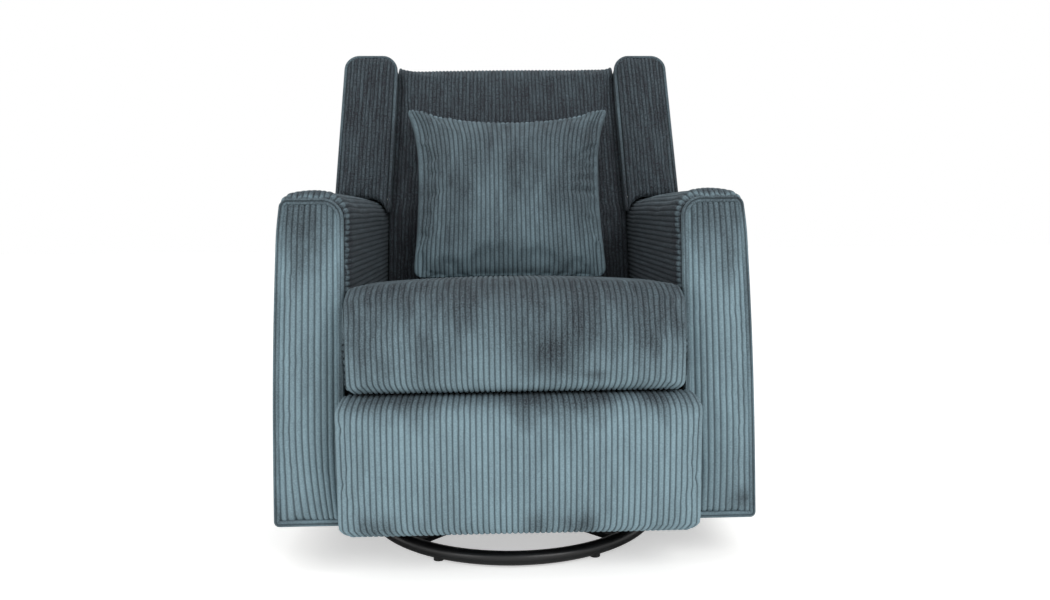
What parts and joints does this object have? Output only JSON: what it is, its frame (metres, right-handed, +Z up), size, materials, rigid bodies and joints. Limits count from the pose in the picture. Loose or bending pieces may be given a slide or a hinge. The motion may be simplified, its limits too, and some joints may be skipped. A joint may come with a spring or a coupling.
{
  "type": "swivel glider recliner",
  "caption": "Upholstered wing-back swivel glider recliner with wide-wale cover, square arms, loose pillow, pull-out footrest and round tubular base.",
  "frame": {"origin": "where the swivel axis meets the floor, at the middle of the ring base", "axes": "+Z up, -Y the way the sitter faces, +X to the right of someone looking at the front"},
  "size_m": [0.808, 0.8241, 0.935],
  "materials": {
    "black_steel": "gloss black powder coat",
    "plastic_glide": "moulded black nylon",
    "zinc_steel": "zinc plated",
    "wood": "sawn hardwood and plywood",
    "spring_steel": "oiled spring wire",
    "corduroy": "wide-wale corduroy, blue-grey",
    "welt_cord": "self-covered welt"
  },
  "bodies": {
    "base": {"base_ring": "black_steel", "base_cross": "black_steel", "ring_glides": "plastic_glide", "swivel_lower_race": "zinc_steel", "swivel_spindle": "zinc_steel", "swivel_balls": "zinc_steel", "base_bolts": "zinc_steel"},
    "carriage": {"swivel_upper_race": "zinc_steel", "carriage_deck": "black_steel", "glide_stand_left": "black_steel", "glide_stand_right": "black_steel", "carriage_bolts": "zinc_steel", "glide_upper_pins": "zinc_steel"},
    "front_link_left": {"front_link_left": "black_steel"},
    "front_link_right": {"front_link_right": "black_steel"},
    "rear_link_left": {"rear_link_left": "black_steel"},
    "rear_link_right": {"rear_link_right": "black_steel"},
    "chair": {"glide_rail_left": "black_steel", "glide_rail_right": "black_steel", "glide_lower_pins": "zinc_steel", "cross_tubes": "black_steel", "side_plate_left": "black_steel", "side_plate_right": "black_steel", "seat_side_rails": "wood", "seat_front_rail": "wood", "seat_rear_rail": "wood", "seat_springs": "spring_steel", "seat_cushion": "corduroy", "arm_frame_left": "wood", "arm_frame_right": "wood", "arm_cover_left": "corduroy", "arm_cover_right": "corduroy", "arm_front_left": "corduroy", "arm_front_right": "corduroy", "arm_welts": "welt_cord", "rear_board": "wood", "rear_skirt": "corduroy"},
    "rear_crank": {"rear_crank_left": "black_steel", "rear_crank_right": "black_steel", "torque_shaft": "zinc_steel"},
    "front_crank_left": {"front_crank_left": "black_steel"},
    "front_crank_right": {"front_crank_right": "black_steel"},
    "coupler_left": {"coupler_link_left": "black_steel"},
    "coupler_right": {"coupler_link_right": "black_steel"},
    "control_left": {"control_link_left": "black_steel"},
    "control_right": {"control_link_right": "black_steel"},
    "footrest": {"footrest_board": "wood", "footrest_pad": "corduroy", "footrest_brackets": "black_steel"},
    "backrest": {"back_rails": "wood", "back_stiles": "wood", "hinge_brackets": "black_steel", "back_springs": "spring_steel", "back_cushion": "corduroy", "outer_back": "corduroy", "wing_left": "corduroy", "wing_right": "corduroy", "wing_welts": "welt_cord"},
    "pillow": {"throw_pillow": "corduroy"}
  },
  "joints": [
    {"name": "swivel", "type": "hinge", "parent": "base", "child": "carriage", "pos_m": [0, 0, 0], "axis": [0, 0, 1], "continuous": true},
    {"name": "glide", "type": "hinge", "parent": "carriage", "child": "front_link_left", "pos_m": [0, -0.065, 0.24], "axis": [1, 0, 0], "range_deg": [-28, 28]},
    {"name": "glide_front_right", "type": "hinge", "parent": "carriage", "child": "front_link_right", "pos_m": [0, -0.065, 0.24], "axis": [1, 0, 0], "range_deg": [-28, 28]},
    {"name": "glide_rear_left", "type": "hinge", "parent": "carriage", "child": "rear_link_left", "pos_m": [0, 0.065, 0.24], "axis": [1, 0, 0], "range_deg": [-28, 28]},
    {"name": "glide_rear_right", "type": "hinge", "parent": "carriage", "child": "rear_link_right", "pos_m": [0, 0.065, 0.24], "axis": [1, 0, 0], "range_deg": [-28, 28]},
    {"name": "chair_hang", "type": "hinge", "parent": "front_link_left", "child": "chair", "pos_m": [0, -0.065, 0.13], "axis": [1, 0, 0], "range_deg": [-28, 28]},
    {"name": "recline", "type": "hinge", "parent": "chair", "child": "backrest", "pos_m": [0, 0.255, 0.305], "axis": [-1, 0, 0], "range_deg": [0, 25]},
    {"name": "footrest_crank", "type": "hinge", "parent": "chair", "child": "rear_crank", "pos_m": [0, -0.15, 0.235], "axis": [-1, 0, 0], "range_deg": [0, 100]},
    {"name": "front_crank_left", "type": "hinge", "parent": "chair", "child": "front_crank_left", "pos_m": [0, -0.20271, 0.27472], "axis": [-1, 0, 0], "range_deg": [0, 100]},
    {"name": "front_crank_right", "type": "hinge", "parent": "chair", "child": "front_crank_right", "pos_m": [0, -0.20271, 0.27472], "axis": [-1, 0, 0], "range_deg": [0, 100]},
    {"name": "coupler_left", "type": "hinge", "parent": "rear_crank", "child": "coupler_left", "pos_m": [0, -0.11851, 0.09859], "axis": [-1, 0, 0], "range_deg": [-100, 0]},
    {"name": "coupler_right", "type": "hinge", "parent": "rear_crank", "child": "coupler_right", "pos_m": [0, -0.11851, 0.09859], "axis": [-1, 0, 0], "range_deg": [-100, 0]},
    {"name": "control_left", "type": "hinge", "parent": "front_crank_left", "child": "control_left", "pos_m": [0, -0.16965, 0.09334], "axis": [-1, 0, 0], "range_deg": [-100, 0]},
    {"name": "control_right", "type": "hinge", "parent": "front_crank_right", "child": "control_right", "pos_m": [0, -0.16965, 0.09334], "axis": [-1, 0, 0], "range_deg": [-100, 0]},
    {"name": "footrest_tilt", "type": "hinge", "parent": "coupler_left", "child": "footrest", "pos_m": [0, -0.238, 0.245], "axis": [-1, 0, 0], "range_deg": [0, 100]},
    {"name": "pillow_lift", "type": "slide", "parent": "backrest", "child": "pillow", "axis": [0, 0.2924, 0.9563], "range_m": [0, 0.45]}
  ],
  "couplings": [
    {"joint": "glide_front_right", "follows": "glide", "ratio": 1},
    {"joint": "glide_rear_left", "follows": "glide", "ratio": 1},
    {"joint": "glide_rear_right", "follows": "glide", "ratio": 1},
    {"joint": "chair_hang", "follows": "glide", "ratio": -1},
    {"joint": "front_crank_left", "follows": "footrest_crank", "ratio": 1},
    {"joint": "front_crank_right", "follows": "footrest_crank", "ratio": 1},
    {"joint": "coupler_left", "follows": "footrest_crank", "ratio": -1},
    {"joint": "coupler_right", "follows": "footrest_crank", "ratio": -1},
    {"joint": "control_left", "follows": "footrest_crank", "ratio": -1},
    {"joint": "control_right", "follows": "footrest_crank", "ratio": -1},
    {"joint": "footrest_tilt", "follows": "footrest_crank", "ratio": 1}
  ]
}
